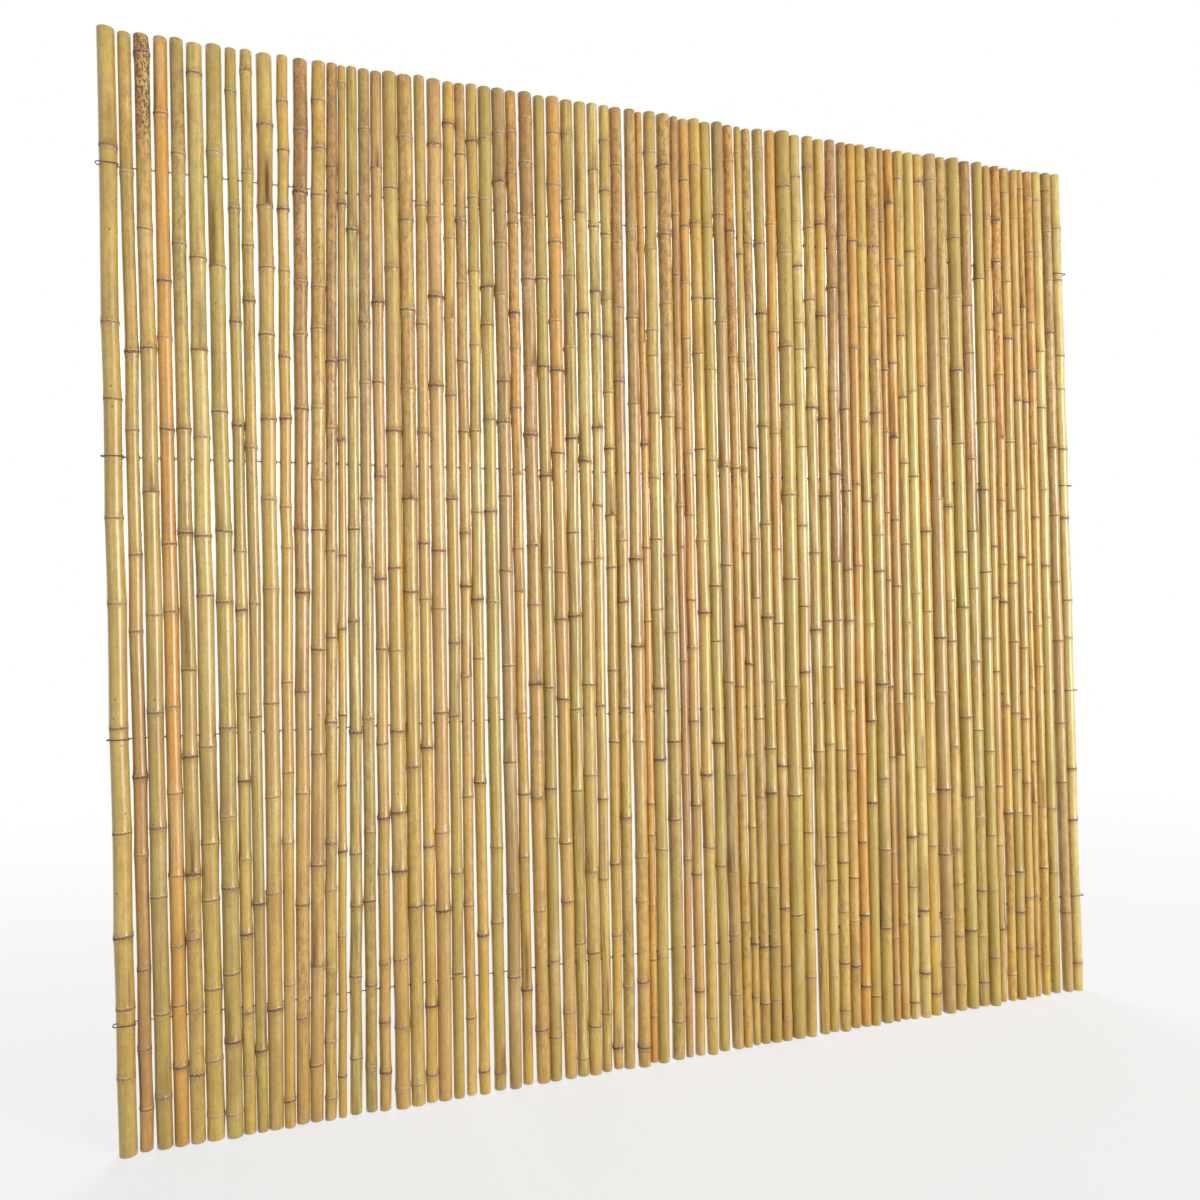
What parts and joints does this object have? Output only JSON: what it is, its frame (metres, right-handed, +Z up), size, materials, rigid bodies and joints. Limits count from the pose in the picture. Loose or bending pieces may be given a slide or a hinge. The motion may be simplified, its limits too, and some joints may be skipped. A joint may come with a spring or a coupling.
{
  "type": "rolled bamboo fence",
  "caption": "Fence panel of natural bamboo canes side by side, threaded on galvanised wires, for screening a garden boundary.",
  "frame": {"origin": "on the ground under the middle of the fence", "axes": "+X along the fence, +Z up the canes, the front faces -Y"},
  "size_m": [1.9573, 0.0357, 1.8],
  "materials": {
    "cane": "satin, natural bamboo skin",
    "wire": "dull galvanised"
  },
  "bodies": {
    "root": {"canes_01_02": "cane", "canes_03_04": "cane", "canes_05_06": "cane", "canes_07_08": "cane", "canes_09_10": "cane", "canes_11_12": "cane", "canes_13_14": "cane", "canes_15_16": "cane", "canes_17_18": "cane", "canes_19_20": "cane", "canes_21_22": "cane", "canes_23_24": "cane", "canes_25_26": "cane", "canes_27_28": "cane", "canes_29_30": "cane", "canes_31_32": "cane", "canes_33_34": "cane", "canes_35_36": "cane", "canes_37_38": "cane", "canes_39_40": "cane", "canes_41_42": "cane", "canes_43_44": "cane", "canes_45_46": "cane", "canes_47_48": "cane", "canes_49_50": "cane", "canes_51_52": "cane", "canes_53_54": "cane", "canes_55_56": "cane", "canes_57_58": "cane", "canes_59_60": "cane", "canes_61_62": "cane", "canes_63_64": "cane", "canes_65_66": "cane", "canes_67_68": "cane", "canes_69_70": "cane", "canes_71_72": "cane", "canes_73_74": "cane", "canes_75_76": "cane", "canes_77_78": "cane", "wire_bottom": "wire", "wire_lower": "wire", "wire_upper": "wire", "wire_top": "wire"}
  },
  "joints": []
}
